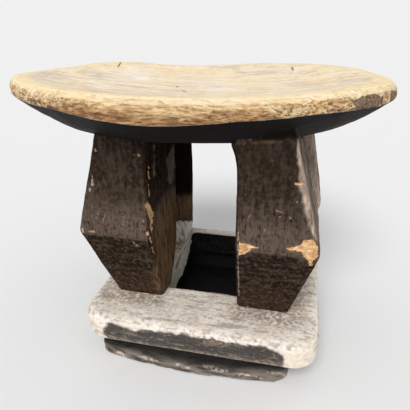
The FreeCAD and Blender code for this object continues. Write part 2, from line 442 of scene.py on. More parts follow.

# Legs: where the wood shows grey, with painted light and sheen where it faces right, tan, as pale as the base,
# or scratched, and where painted black shade lies under the seat
LEG_GREY_AND_SHEEN = {
    "leg_front_right": [
        (0, [(298, 139), (330, 136), (330, 240), (315, 240), (310, 228), (306, 216), (303, 200),
             (299, 180)]),
    ],
    "leg_back_right": [(0, [(295, 120), (340, 120), (340, 245), (295, 245)])],
    "leg_front_left": [(1.6, [(172, 146), (167, 160), (169, 182)]), (0.8, [(156, 146), (156, 176)])],
}
LEG_TAN = {
    "leg_front_left": [
        (0, [(156, 216), (166, 190), (182, 184), (182, 262), (170, 294), (158, 292), (156, 262)]),
    ],
    "leg_back_left": [(0, [(170, 196), (195, 196), (195, 222), (170, 222)])],
    "leg_front_right": [(0.5, [(238, 143.5), (262, 142.5), (290, 142)])],
}
LEG_LIKE_BASE = {"leg_back_left": [(0, [(160, 222), (196, 221), (196, 262), (160, 262)])]}
LEG_SCRATCH = {
    "leg_front_left": [
        (0.5, [(119, 142), (126, 159)]), (0.4, [(117, 143), (123, 154)]),
        (0.5, [(128, 165), (127, 190)]),
    ],
    "leg_front_right": [(0.6, [(310, 142), (313, 232)]), (0.4, [(280, 262), (290, 266)])],
}
LEG_SEAT_SHADE = {
    "leg_front_right": [
        (0, [(226, 118), (318, 118), (316, 131), (298, 138.5), (260, 140.5), (226, 141)]),
    ],
}

# Legs: how far in mm the front left one's inner side is shifted outward at its front edge,
# and how much further inward than that it lies at its rear edge
SHEAR_OUT, SHEAR_GAIN = 1.8, 4.4

# Legs: how far in mm their upper ends run on into the seat
SEATED_RUN = 2.5


def seen_marks(p, n, table, node, seed, ragged):
    """Marks of one leg, and none for a leg that the table leaves out."""
    return marks(p, n, table[node], seed, ragged) if node in table else np.zeros(len(p))


def shape_leg(node, material, seed):
    mesh, p, n, links = remeshed(node, LEG_FACES)
    left = "left" in node
    back = "back" in node

    # The ends are left uncut, and the upper one runs on into the seat, so that the wood is unbroken
    seated = ramp(n[:, 2], 0.45, 0.7) * (p[:, 2] > SEAT_LOW[2] - 12)
    footed = ramp(-n[:, 2], 0.9, 0.99) * (p[:, 2] < SLAB_HIGH[2] + 1)
    flank = 1 - np.maximum(seated, footed)
    cut = 0.55 * rough(p, (60, 60, 50), seed, 2) + 0.15
    cut = cut + 0.45 - 0.75 * cups(p, (17, 17, 40), seed + 10)
    cut = cut + 0.2 * rough(p, (4, 4, 26), seed + 20, 2)
    edge, _ = edges_and_hollows(p, n, links, 30, 1.4)
    worn = edge * (0.3 + 0.7 * ramp(rough(p, 11, seed + 30), -0.1, 0.5))
    bare = seen_marks(p, n, LEG_BARE, node, seed + 40, 1.3)
    hidden = 1 - facing(p, n) * (0 if back else 1)
    far_chips = edge * ramp(rough(p, (10, 10, 14), seed + 50), 0.5, 0.66) * hidden
    bare = np.maximum(bare, ramp(far_chips, 0.3, 0.6))
    pale = seen_marks(p, n, LEG_PALE, node, seed + 60, 0.7)
    scratch = seen_marks(p, n, LEG_SCRATCH, node, seed + 70, 0.5)
    cut = (cut + 1.1 * worn + 1.2 * bare + 0.3 * pale + 0.6 * scratch) * flank
    moved = p - n * cut[:, None]
    moved[:, 2] += SEATED_RUN * seated
    if node == "leg_front_left":
        rear = ramp(p[:, 1], p[:, 1].min() + 8, p[:, 1].max() - 6)
        inner_side = ramp(p[:, 0], p[:, 0].min() + 12, p[:, 0].max())
        moved[:, 0] += (SHEAR_GAIN * rear - SHEAR_OUT) * inner_side
    write_points(mesh, moved)

    n = read_normals(mesh)
    edge, hollow = edges_and_hollows(moved, n, links, 14, 0.45)
    outward_x = n[:, 0] * (-1 if left else 1)
    outward_y = n[:, 1] * (1 if back else -1)
    below = ramp(KNEE_Z - 1 - moved[:, 2], 0, 3)
    # Painted shade: faces turned in between the legs, and the back legs' front faces, are darkened, more so
    # higher up under the seat
    inward_x = ramp(-outward_x, 0.3, 0.7) * (1.0 if back else 0.45)
    inside = np.maximum(inward_x, ramp(-outward_y, 0.3, 0.7))
    inside = inside * (0.35 + 0.65 * ramp(moved[:, 2], SLAB_HIGH[2] + 14, SLAB_HIGH[2] + 62))
    tan = softened(seen_marks(p, n, LEG_TAN, node, seed + 90, 3.5), links, 26 if left else 2)
    # Grey wood, with painted light and sheen where the faces turn to the right
    grey = softened(seen_marks(p, n, LEG_GREY_AND_SHEEN, node, seed + 91, 1.5), links, 2)
    grey = grey * (0.3 if node == "leg_front_left" else 1)
    inside = inside * (1 - np.maximum(tan, grey))
    write_mask(mesh, "edge", edge * (1 - 0.6 * inside))
    write_mask(mesh, "hollow", np.maximum(hollow, scratch))
    write_mask(mesh, "bare", bare)
    write_mask(mesh, "pale", pale)
    # Partly rubbed wood, partly painted light: a paler pink band just above the knee, where less of the seat's
    # shade falls
    knee_rub_and_light = np.exp(-((moved[:, 2] - KNEE_Z - 8) / 26) ** 2) * (1 - below)
    write_mask(mesh, "knee_rub_and_light", knee_rub_and_light * (1 - inside))
    write_mask(mesh, "below", below)
    write_mask(mesh, "inside", inside)
    write_mask(mesh, "outside", ramp(outward_x, 0.6, 0.9) * (1 - below))
    write_mask(mesh, "tan", tan)
    write_mask(mesh, "grey", grey)
    write_mask(mesh, "like base", seen_marks(p, n, LEG_LIKE_BASE, node, seed + 92, 1.2))
    # Painted shade: black at the top of the front right leg, just under the seat
    seat_shade = seen_marks(p, n, LEG_SEAT_SHADE, node, seed + 80, 1.2)
    write_mask(mesh, "seat_shade", softened(seat_shade, links, 3))
    # Painted shade: the legs darken toward their tops, under the seat
    write_mask(mesh, "upper", ramp(moved[:, 2], KNEE_Z + 12, p[:, 2].max() - 8))
    write_mask(mesh, "foot", ramp(SLAB_HIGH[2] + 44 - moved[:, 2], 0, 40))
    return dressed(node + "_wood", mesh, node, material)


# Base: marks as pixels of the photograph
SLAB_DARK = [
    (0, [(102, 331), (104, 325), (112, 322), (121, 326), (133, 331), (150, 330), (166, 333), (184, 332),
         (196, 337), (212, 338), (226, 342), (244, 344), (262, 346), (276, 352), (285, 357), (283, 372),
         (262, 370), (240, 366), (215, 361), (190, 356), (160, 352), (130, 346), (108, 339)]),
]
SLAB_BARE = [
    (0, [(285, 352), (300, 347), (316, 338), (319, 345), (317, 356), (306, 366), (292, 369), (284, 365)]),
]
SLAB_WHITE = [
    (1.6, [(95, 316), (110, 322)]), (1.4, [(112, 322), (150, 328)]), (1.4, [(158, 329), (180, 331)]),
    (1.6, [(196, 334), (230, 339)]), (1.4, [(240, 341), (270, 347)]), (1.6, [(92, 308), (91, 318)]),
    (1.5, [(318, 250), (318, 330)]),
]
# Painted light: the lit upper part of the well's left wall
WELL_LIT = [
    (0, [(160, 220), (193, 222), (192, 238), (188, 256), (184, 272), (180, 292), (160, 292)]),
]
WELL_STREAK = [(1.0, [(184, 243), (176, 268)]), (0.6, [(188, 236), (184, 250)])]

# Base: how far in mm the slab's ends swell out and the foot's front comes forward low down
SLAB_SWELL = 0.9
FOOT_FORWARD = 4.5


def shape_slab(material):
    mesh, p, n, links = remeshed("base_slab", SLAB_FACES)
    top = ramp(n[:, 2], 0.6, 0.9)
    upright = 1 - ramp(np.abs(n[:, 2]), 0.35, 0.75)
    inner = well_share(p)
    edge, _ = edges_and_hollows(p, n, links, 30, 1.2)
    cut = 0.5 * rough(p, (50, 50, 30), 111, 2) + 0.15
    cut = cut + top * (0.35 * rough(p, (34, 12, 12), 121, 3) + 0.2)
    cut = cut + upright * (0.3 - 0.8 * cups(p, (24, 24, 15), 131)) * (1 - inner)
    cut = cut + inner * (1.6 - 1.9 * cups(p, (13, 13, 17), 141))
    cut = cut + edge * (0.5 + 0.9 * ramp(rough(p, 12, 151), 0.0, 0.6)) * (1 - inner)
    cut = cut + upright * 0.45 * rough(p, (26, 26, 4), 156, 3) * (1 - inner)
    moved = p - n * cut[:, None]
    moved[:, 0] += SLAB_SWELL * np.sign(n[:, 0]) * ramp(np.abs(n[:, 0]), 0.3, 0.8) * (1 - inner)
    write_points(mesh, moved)

    n = read_normals(mesh)
    edge, hollow = edges_and_hollows(moved, n, links, 16, 0.5)
    write_mask(mesh, "edge", edge)
    write_mask(mesh, "hollow", hollow)
    # Painted shade: the slab's downward faces take the dark stain colour
    write_mask(mesh, "belly", ramp(-n[:, 2], 0.2, 0.6))
    write_mask(mesh, "bevel", ramp(n[:, 2], 0.15, 0.4) * ramp(n[:, 2], 0.95, 0.75) * (1 - inner))
    lit_wall = marks(moved, n, WELL_LIT, 165, 1.5) * inner
    write_mask(mesh, "inner", inner * (1 - 0.9 * lit_wall))
    write_mask(mesh, "streak", marks(moved, n, WELL_STREAK, 166, 0.8) * inner)

    # The front's dark patch is the photograph's, and the other sides get weaker ones of their own
    front = marks(moved, n, SLAB_DARK, 161, 2.0)
    level = rough(p, (80, 80, 16), 171, 4)
    under_top = ramp(SLAB_HIGH[2] - 5.5 - p[:, 2] + 2.5 * level, 0, 2)
    others = ramp(level, -0.35, 0.25) * under_top * (1 - ramp(-n[:, 1], 0.3, 0.6))
    dark = np.maximum(front, others * 0.7) * np.maximum(upright, ramp(-n[:, 2], 0.1, 0.5))
    high_edge = edge * ramp(rough(p, 8, 181), 0, 0.4) * ramp(p[:, 2], SLAB_LOW[2] + 8, SLAB_LOW[2] + 14)
    write_mask(mesh, "dark", softened(dark * (1 - inner) * (1 - 0.6 * high_edge), links, 12))
    write_mask(mesh, "lit", lit_wall)
    write_mask(mesh, "lowest", ramp(SLAB_LOW[2] + 10 + 3 * level - p[:, 2], 0, 6) * (1 - inner))
    write_mask(mesh, "bare", marks(moved, n, SLAB_BARE, 162, 1.6))
    write_mask(mesh, "white", marks(moved, n, SLAB_WHITE, 163, 1.6))
    write_mask(mesh, "shade", softened(leg_shade(moved), links, 4) * top)
    return dressed("slab_wood", mesh, "base_slab", material)


def well_share(p):
    """1 on the walls of the well, 0 outside."""
    off = np.abs(p[:, :2] - WELL_MIDDLE) - WELL_HALF
    return ((off.max(1) < 0) & (p[:, 2] < SLAB_HIGH[2] - 1.5)).astype(float)


def leg_shade(p):
    """Painted shade around where the legs stand on the slab."""
    shade = np.zeros(len(p))
    for node in ("leg_front_left", "leg_front_right", "leg_back_left", "leg_back_right"):
        low, high = corners(node)
        middle = (low + high)[:2] / 2
        half = (high - low)[:2] / 2 * 0.72
        off = np.maximum(np.abs(p[:, :2] - middle) - half, 0)
        shade = np.maximum(shade, np.exp(-(off ** 2).sum(1) / 60))
    return shade


# Foot: pale specks as pixels of the photograph
FOOT_PALE = [
    (2.0, [(204, 366), (226, 371)]), (1.4, [(140, 357), (156, 361)]), (1.6, [(240, 374), (262, 378)]),
    (1.6, [(268, 372), (284, 374)]), (1.0, [(118, 352), (126, 357)]), (1.0, [(176, 364), (190, 368)]),
]


def shape_foot(material):
    mesh, p, n, links = remeshed("base_foot", FOOT_FACES)
    upright = 1 - ramp(np.abs(n[:, 2]), 0.3, 0.7)
    inner = well_share(p)
    edge, _ = edges_and_hollows(p, n, links, 24, 1.2)
    low_edge = edge * (p[:, 2] < 8)
    cut = 0.5 * rough(p, (50, 50, 30), 211, 2) + 0.2
    cut = cut + upright * (0.6 * rough(p, (30, 30, 6), 221, 3) + 0.3) * (1 - inner)
    cut = cut + inner * (1.6 - 1.9 * cups(p, (13, 13, 17), 141))
    cut = cut + low_edge * (0.4 + 1.8 * ramp(rough(p, 10, 231), 0.1, 0.6))
    level = (n[:, 2] < -0.8) & (p[:, 2] < 1)
    cut = np.where(level, 0.15 + 0.15 * rough(p, 9, 241), cut)
    moved = p - n * cut[:, None]
    moved[:, 2] = np.maximum(moved[:, 2], 0)
    moved[:, 1] -= FOOT_FORWARD * ramp(-n[:, 1], 0.2, 0.7) * ramp(SLAB_LOW[2] - 4 - p[:, 2], 0, 10)
    write_points(mesh, moved)

    n = read_normals(mesh)
    edge, hollow = edges_and_hollows(moved, n, links, 14, 0.5)
    write_mask(mesh, "edge", edge)
    write_mask(mesh, "hollow", hollow)
    write_mask(mesh, "inner", inner)
    write_mask(mesh, "pale", marks(moved, n, FOOT_PALE, 251, 1.6))
    # Painted shadow: the foot's upright faces turn black just under the slab
    height = moved[:, 2] + 2.0 * rough(moved, (40, 40, 10), 261, 2)
    write_mask(mesh, "recess_shadow", ramp(height, SLAB_LOW[2] - 17, SLAB_LOW[2] - 7) * upright)
    return dressed("foot_wood", mesh, "base_foot", material)


# Shader building blocks

def add(tree, kind, inputs=None, **settings):
    item = tree.nodes.new(kind)
    for key, value in settings.items():
        setattr(item, key, value)
    for key, value in (inputs or {}).items():
        socket = item.inputs[key]
        if isinstance(value, bpy.types.NodeSocket):
            tree.links.new(value, socket)
        else:
            socket.default_value = value
    return item


def maths(tree, operation, a, b, clamp=False):
    return add(tree, "ShaderNodeMath", {0: a, 1: b}, operation=operation, use_clamp=clamp).outputs[0]


def product(tree, a, b):
    return maths(tree, "MULTIPLY", a, b)


def noise(tree, place, scale, detail, roughness=0.55):
    values = {"Vector": place, "Scale": scale, "Detail": detail, "Roughness": roughness, "Distortion": 0.0}
    return add(tree, "ShaderNodeTexNoise", values).outputs[0]


def between(tree, value, low, high):
    """0 below low, 1 above high, soft between."""
    values = {"Value": value, "From Min": low, "From Max": high}
    return add(tree, "ShaderNodeMapRange", values, interpolation_type="SMOOTHSTEP").outputs[0]


def blend(tree, mask, first, second):
    item = add(tree, "ShaderNodeMix", data_type="RGBA")
    for index, value in ((0, mask), (6, first), (7, second)):
        if isinstance(value, bpy.types.NodeSocket):
            tree.links.new(value, item.inputs[index])
        else:
            item.inputs[index].default_value = value
    return item.outputs[2]


def tinted(tree, tone, mask, share, colour):
    """The tone with a share of another colour where the mask is."""
    return blend(tree, product(tree, mask, share), tone, colour)


def mask_of(tree, name):
    return add(tree, "ShaderNodeAttribute", attribute_name=name).outputs["Fac"]


def new_group(name, inputs, outputs):
    tree = bpy.data.node_groups.new(name, "ShaderNodeTree")
    for label, kind, value in inputs:
        socket = tree.interface.new_socket(label, in_out="INPUT", socket_type=kind)
        if value is not None:
            socket.default_value = value
    for label, kind in outputs:
        tree.interface.new_socket(label, in_out="OUTPUT", socket_type=kind)
    return tree, tree.nodes.new("NodeGroupInput"), tree.nodes.new("NodeGroupOutput")


def place_group(tree, group, inputs):
    item = tree.nodes.new("ShaderNodeGroup")
    item.node_tree = group
    for key, value in inputs.items():
        if isinstance(value, bpy.types.NodeSocket):
            tree.links.new(value, item.inputs[key])
        else:
            item.inputs[key].default_value = value
    return item.outputs


FLOAT = "NodeSocketFloat"
VECTOR = "NodeSocketVector"
COLOUR = "NodeSocketColor"


def build_grain():
    """Long streaks and fine fibres that run along one axis of the wood, sizes in mm."""
    tree, start, end = new_group(
        "wood grain",
        [("Place", VECTOR, None), ("Length", FLOAT, 60.0), ("Width", FLOAT, 5.0), ("Wander", FLOAT, 0.4)],
        [("Streaks", FLOAT), ("Fibres", FLOAT), ("Pores", FLOAT)])
    parts = add(tree, "ShaderNodeSeparateXYZ", {0: start.outputs["Place"]}).outputs
    bend = noise(tree, start.outputs["Place"], 22.0, 2.0)
    shift = product(tree, maths(tree, "SUBTRACT", bend, 0.5), start.outputs["Wander"])
    long_x = maths(tree, "DIVIDE", product(tree, parts[0], 1000.0), start.outputs["Length"])
    wide_y = maths(tree, "DIVIDE", product(tree, parts[1], 1000.0), start.outputs["Width"])
    wide_z = maths(tree, "DIVIDE", product(tree, parts[2], 1000.0), start.outputs["Width"])
    drawn = add(tree, "ShaderNodeCombineXYZ", {
        0: long_x, 1: maths(tree, "ADD", wide_y, shift), 2: maths(tree, "ADD", wide_z, shift)}).outputs[0]
    tree.links.new(noise(tree, drawn, 1.0, 5.0, 0.6), end.inputs["Streaks"])
    tree.links.new(noise(tree, drawn, 4.0, 4.0, 0.65), end.inputs["Fibres"])
    fine = noise(tree, drawn, 9.0, 2.0, 0.5)
    tree.links.new(between(tree, fine, 0.62, 0.75), end.inputs["Pores"])
    return tree


def build_wear():
    """Edge wear broken up by noise: a mask where the patina has rubbed off."""
    tree, start, end = new_group(
        "edge wear",
        [("Place", VECTOR, None), ("Edge", FLOAT, 0.0), ("Amount", FLOAT, 0.5), ("Size", FLOAT, 6.0)],
        [("Worn", FLOAT)])
    scale = maths(tree, "DIVIDE", 1000.0, start.outputs["Size"])
    break_up = noise(tree, start.outputs["Place"], scale, 5.0, 0.65)
    level = maths(tree, "ADD", start.outputs["Edge"], maths(tree, "SUBTRACT", break_up, 0.5))
    level = maths(tree, "ADD", level, maths(tree, "SUBTRACT", start.outputs["Amount"], 1.0))
    tree.links.new(between(tree, level, -0.08, 0.12), end.inputs["Worn"])
    return tree


def build_mottle():
    """Uneven blotches, as old handling and damp leave them, size in mm."""
    tree, start, end = new_group(
        "mottle",
        [("Place", VECTOR, None), ("Size", FLOAT, 20.0)],
        [("Blotches", FLOAT)])
    scale = maths(tree, "DIVIDE", 1000.0, start.outputs["Size"])
    tree.links.new(noise(tree, start.outputs["Place"], scale, 5.0, 0.6), end.inputs["Blotches"])
    return tree


GRAIN = build_grain()
WEAR = build_wear()
MOTTLE = build_mottle()


def new_material(name, roughness, specular):
    material = bpy.data.materials.new(name)
    material.use_nodes = True
    tree = material.node_tree
    shader = tree.nodes["Principled BSDF"]
    shader.inputs["Roughness"].default_value = roughness
    shader.inputs["Specular IOR Level"].default_value = specular
    place = add(tree, "ShaderNodeTexCoord").outputs["Object"]
    return material, tree, shader, place


def raised(tree, shader, height, depth):
    """Surface relief from a height, depth in mm."""
    bump = add(tree, "ShaderNodeBump", {"Height": height, "Strength": 1.0, "Distance": depth * MM})
    tree.links.new(bump.outputs[0], shader.inputs["Normal"])


def upright_place(tree, place):
    """The same place with up and along swapped, so that grain runs upright."""
    parts = add(tree, "ShaderNodeSeparateXYZ", {0: place}).outputs
    return add(tree, "ShaderNodeCombineXYZ", {0: parts[2], 1: parts[1], 2: parts[0]}).outputs[0]


# Colours, as linear values
CREAM = (0.88, 0.74, 0.49, 1)
CREAM_PINK = (0.82, 0.69, 0.54, 1)
CREAM_TAN = (0.78, 0.56, 0.34, 1)
CREAM_WHITE = (0.95, 0.90, 0.80, 1)
CREAM_GREY = (0.56, 0.46, 0.37, 1)
CREAM_BROWN = (0.50, 0.36, 0.22, 1)
RIM_LEMON = (0.93, 0.76, 0.46, 1)
RIM_TAN = (0.74, 0.49, 0.24, 1)
RIM_ORANGE = (0.36, 0.185, 0.076, 1)
RIM_UMBER = (0.21, 0.105, 0.046, 1)
RIM_BROWN = (0.085, 0.040, 0.021, 1)
RIM_BARK = (0.22, 0.155, 0.115, 1)
DARK_WOOD_AND_SHADE = (0.008, 0.0052, 0.0048, 1)
BLUE_DARK_WOOD_AND_SHADE = (0.009, 0.0085, 0.0105, 1)
PATINA_DARK = (0.014, 0.0085, 0.006, 1)
PATINA_RED = (0.105, 0.055, 0.034, 1)
PATINA_BROWN = (0.055, 0.036, 0.023, 1)
PATINA_GREY = (0.095, 0.075, 0.060, 1)
PATINA_PINK = (0.185, 0.130, 0.100, 1)
PATINA_OLIVE = (0.055, 0.038, 0.019, 1)
OCHRE = (0.30, 0.20, 0.105, 1)
BARE_ORANGE = (0.60, 0.29, 0.115, 1)
BARE_PALE = (0.80, 0.54, 0.31, 1)
SCRATCH_PALE = (0.60, 0.47, 0.37, 1)
BASE_BEIGE = (0.78, 0.67, 0.56, 1)
BASE_PALE = (0.90, 0.82, 0.72, 1)
BASE_BROWN = (0.27, 0.20, 0.15, 1)
BASE_GREY = (0.48, 0.43, 0.41, 1)
BASE_DARK = (0.020, 0.018, 0.020, 1)
LOW_BROWN = (0.36, 0.28, 0.22, 1)
BASE_MAUVE = (0.34, 0.285, 0.29, 1)
LIT_WALL_AND_PALE_WOOD = (0.96, 0.90, 0.78, 1)
INSIDE_SHADE = (0.007, 0.0045, 0.004, 1)
OUTSIDE_GREY = (0.36, 0.285, 0.235, 1)
TAN_BROWN = (0.17, 0.105, 0.058, 1)
BASE_SHADE = (0.10, 0.078, 0.062, 1)
FOOT_GREY = (0.135, 0.112, 0.094, 1)
SHADE_BLACK = (0.006, 0.005, 0.005, 1)
WELL_SHADE_DARK = (0.022, 0.018, 0.015, 1)


def build_base_wood():
    """Pale worn wood of the slab and the foot, with the streaks, fibres and blotches in it."""
    tree, start, end = new_group(
        "base wood",
        [("Place", VECTOR, None), ("Edge", FLOAT, 0.0), ("Hollow", FLOAT, 0.0)],
        [("Tone", COLOUR), ("Streaks", FLOAT), ("Fibres", FLOAT), ("Blotches", FLOAT)])
    place, edge, hollow = (start.outputs[name] for name in ("Place", "Edge", "Hollow"))
    grain = place_group(tree, GRAIN, {"Place": place, "Length": 22.0, "Width": 5.0, "Wander": 2.0})
    spots = place_group(tree, MOTTLE, {"Place": place, "Size": 16.0})
    small = place_group(tree, MOTTLE, {"Place": place, "Size": 3.4})
    worn = place_group(tree, WEAR, {"Place": place, "Edge": edge, "Amount": 0.6, "Size": 4.0})
    tone = blend(tree, between(tree, spots["Blotches"], 0.36, 0.6), BASE_BEIGE, BASE_PALE)
    tone = tinted(tree, tone, between(tree, small["Blotches"], 0.5, 0.64), 0.6, BASE_GREY)
    tone = tinted(tree, tone, between(tree, small["Blotches"], 0.46, 0.34), 0.7, BASE_PALE)
    tone = tinted(tree, tone, between(tree, grain["Streaks"], 0.5, 0.64), 0.55, BASE_BROWN)
    tone = tinted(tree, tone, between(tree, grain["Fibres"], 0.56, 0.68), 0.5, BASE_BROWN)
    tone = tinted(tree, tone, worn["Worn"], 0.75, BASE_PALE)
    tone = tinted(tree, tone, hollow, 0.6, BASE_BROWN)
    values = (tone, grain["Streaks"], grain["Fibres"], small["Blotches"])
    for name, value in zip(("Tone", "Streaks", "Fibres", "Blotches"), values):
        tree.links.new(value, end.inputs[name])
    return tree


BASE_WOOD = build_base_wood()


def base_wood(tree, place):
    edge, hollow = mask_of(tree, "edge"), mask_of(tree, "hollow")
    return place_group(tree, BASE_WOOD, {"Place": place, "Edge": edge, "Hollow": hollow})


def seat_wood():
    material, tree, shader, place = new_material("seat wood", 0.62, 0.1)
    grain = place_group(tree, GRAIN, {"Place": place, "Length": 95.0, "Width": 7.0, "Wander": 1.4})
    fine = place_group(tree, GRAIN, {"Place": place, "Length": 42.0, "Width": 2.6, "Wander": 0.9})
    spots = place_group(tree, MOTTLE, {"Place": place, "Size": 46.0})
    flecks = place_group(tree, GRAIN, {"Place": place, "Length": 24.0, "Width": 5.6, "Wander": 1.5})
    hairs = place_group(tree, GRAIN, {"Place": place, "Length": 50.0, "Width": 6.6, "Wander": 1.3})
    tone = blend(tree, between(tree, spots["Blotches"], 0.36, 0.62), CREAM_PINK, CREAM)
    tone = tinted(tree, tone, between(tree, spots["Blotches"], 0.52, 0.64), 0.5, CREAM_TAN)
    tone = tinted(tree, tone, between(tree, grain["Streaks"], 0.5, 0.66), 0.7, CREAM_GREY)
    tone = tinted(tree, tone, between(tree, fine["Streaks"], 0.5, 0.68), 0.5, CREAM_BROWN)
    clear = between(tree, fine["Streaks"], 0.6, 0.4)
    tone = blend(tree, product(tree, mask_of(tree, "white"), product(tree, clear, 0.9)), tone, CREAM_WHITE)
    streaky = between(tree, fine["Streaks"], 0.4, 0.56)
    tone = blend(tree, product(tree, mask_of(tree, "grey"), product(tree, streaky, 0.75)), tone, CREAM_GREY)
    tone = tinted(tree, tone, fine["Pores"], 0.3, CREAM_BROWN)
    tone = tinted(tree, tone, between(tree, flecks["Fibres"], 0.48, 0.34), 0.75, CREAM_WHITE)
    lemon = blend(tree, product(tree, between(tree, fine["Fibres"], 0.5, 0.7), 0.35), RIM_LEMON, RIM_TAN)
    tone = tinted(tree, tone, mask_of(tree, "band"), 0.75, lemon)
    nicks = product(tree, mask_of(tree, "band"), between(tree, hairs["Fibres"], 0.54, 0.64))
    tone = tinted(tree, tone, nicks, 0.5, RIM_ORANGE)
    rosy = product(tree, mask_of(tree, "rear"), between(tree, flecks["Streaks"], 0.45, 0.62))
    tone = tinted(tree, tone, rosy, 0.6, RIM_TAN)

    # The rim's wall is browner low down and toward the middle of each side
    low = mask_of(tree, "low")
    middle = mask_of(tree, "middle")
    brown = product(tree, low, maths(tree, "ADD", product(tree, middle, 0.7), 0.3))
    wall = blend(tree, between(tree, hairs["Streaks"], 0.42, 0.62), RIM_LEMON, RIM_TAN)
    wall = tinted(tree, wall, middle, 0.5, RIM_TAN)
    wall = blend(tree, brown, wall, RIM_ORANGE)
    paler = maths(tree, "SUBTRACT", 1.0, product(tree, low, 0.6))
    pale_hairs = product(tree, between(tree, hairs["Fibres"], 0.46, 0.34), paler)
    wall = tinted(tree, wall, pale_hairs, 0.7, RIM_LEMON)
    fading = maths(tree, "ADD", product(tree, low, 0.6), 0.4)
    spotted = product(tree, between(tree, hairs["Fibres"], 0.51, 0.56), product(tree, fading, 0.9))
    wall = blend(tree, spotted, wall, RIM_UMBER)
    pits = product(tree, between(tree, flecks["Fibres"], 0.56, 0.62), product(tree, fading, 0.9))
    wall = blend(tree, pits, wall, RIM_BROWN)
    wall = blend(tree, product(tree, mask_of(tree, "cracked"), product(tree, fading, 0.5)), wall, RIM_UMBER)
    wall = blend(tree, product(tree, mask_of(tree, "hollow"), product(tree, fading, 0.4)), wall, RIM_BROWN)
    edge_dirt = product(tree, mask_of(tree, "lip"), between(tree, flecks["Fibres"], 0.36, 0.5))
    wall = tinted(tree, wall, edge_dirt, 0.85, RIM_BROWN)
    tone = blend(tree, mask_of(tree, "side"), tone, wall)
    bark = blend(tree, between(tree, flecks["Fibres"], 0.4, 0.6), RIM_BARK, RIM_BROWN)
    broken = between(tree, maths(tree, "ADD", mask_of(tree, "dark"), flecks["Fibres"]), 0.75, 1.05)
    tone = tinted(tree, tone, broken, 0.9, bark)
    tone = blend(tree, mask_of(tree, "dots"), tone, RIM_BROWN)
    # The seat's underside is near black: partly darker wood, partly painted shade, blotched with a bluish black
    underside_dark_and_shade = blend(tree, between(tree, spots["Blotches"], 0.4, 0.6), DARK_WOOD_AND_SHADE, BLUE_DARK_WOOD_AND_SHADE)
    tone = blend(tree, mask_of(tree, "under"), tone, underside_dark_and_shade)
    tree.links.new(tone, shader.inputs["Base Color"])
    relief = maths(tree, "SUBTRACT", product(tree, fine["Fibres"], 0.6), product(tree, hairs["Fibres"], 0.8))
    raised(tree, shader, relief, 0.5)
    return material


